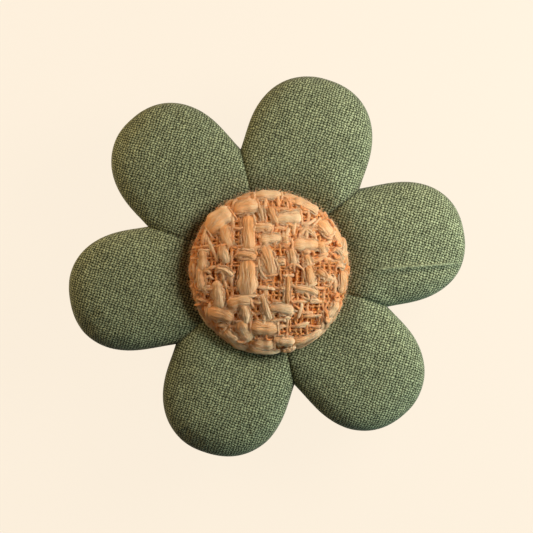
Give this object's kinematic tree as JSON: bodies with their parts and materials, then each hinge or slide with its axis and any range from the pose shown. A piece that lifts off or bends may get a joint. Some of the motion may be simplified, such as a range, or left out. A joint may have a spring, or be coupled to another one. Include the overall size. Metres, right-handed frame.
{
  "type": "flower hair clip",
  "caption": "Padded fabric flower with a tweed-covered button, glued to the fixed arm of a sprung alligator hair clip whose toothed jaw opens by a finger tab.",
  "frame": {"origin": "on the flat outer face of the jaw lever, straight below the middle of the button", "axes": "+X along the clip towards its jaw tip, +Y across the clip, +Z out of the flower's face"},
  "size_m": [0.0607, 0.0545, 0.0201],
  "materials": {
    "petal_fabric": "matte",
    "foam": "matte",
    "card": "matte",
    "lining": "matte",
    "tweed": "matte",
    "button_metal": "satin",
    "steel_wire": "satin",
    "thread": "matte",
    "glue": "gloss",
    "felt": "matte",
    "clip_steel": "satin"
  },
  "bodies": {
    "flower": {"petal_cover": "petal_fabric", "petal_pad_right": "foam", "petal_pad_upper_right": "foam", "petal_pad_upper_left": "foam", "petal_pad_left": "foam", "petal_pad_lower_left": "foam", "petal_pad_lower_right": "foam", "stiffener_board": "card", "back_lining": "lining", "button_tweed": "tweed", "button_shell": "button_metal", "button_back_plate": "button_metal", "button_shank": "steel_wire", "shank_thread": "thread", "glue_pad": "glue", "felt_disc": "felt", "clip_base": "clip_steel", "hinge_pin": "clip_steel", "torsion_spring": "steel_wire"},
    "jaw": {"jaw_lever": "clip_steel"}
  },
  "joints": [
    {"name": "jaw_open", "type": "hinge", "parent": "flower", "child": "jaw", "pos_m": [-0.0125, 0, 0.0041], "axis": [0, 1, 0], "range_deg": [0, 25], "stiffness_Nm_per_rad": 0.0125, "springref_deg": -91.67, "deforming": ["torsion_spring"]}
  ]
}
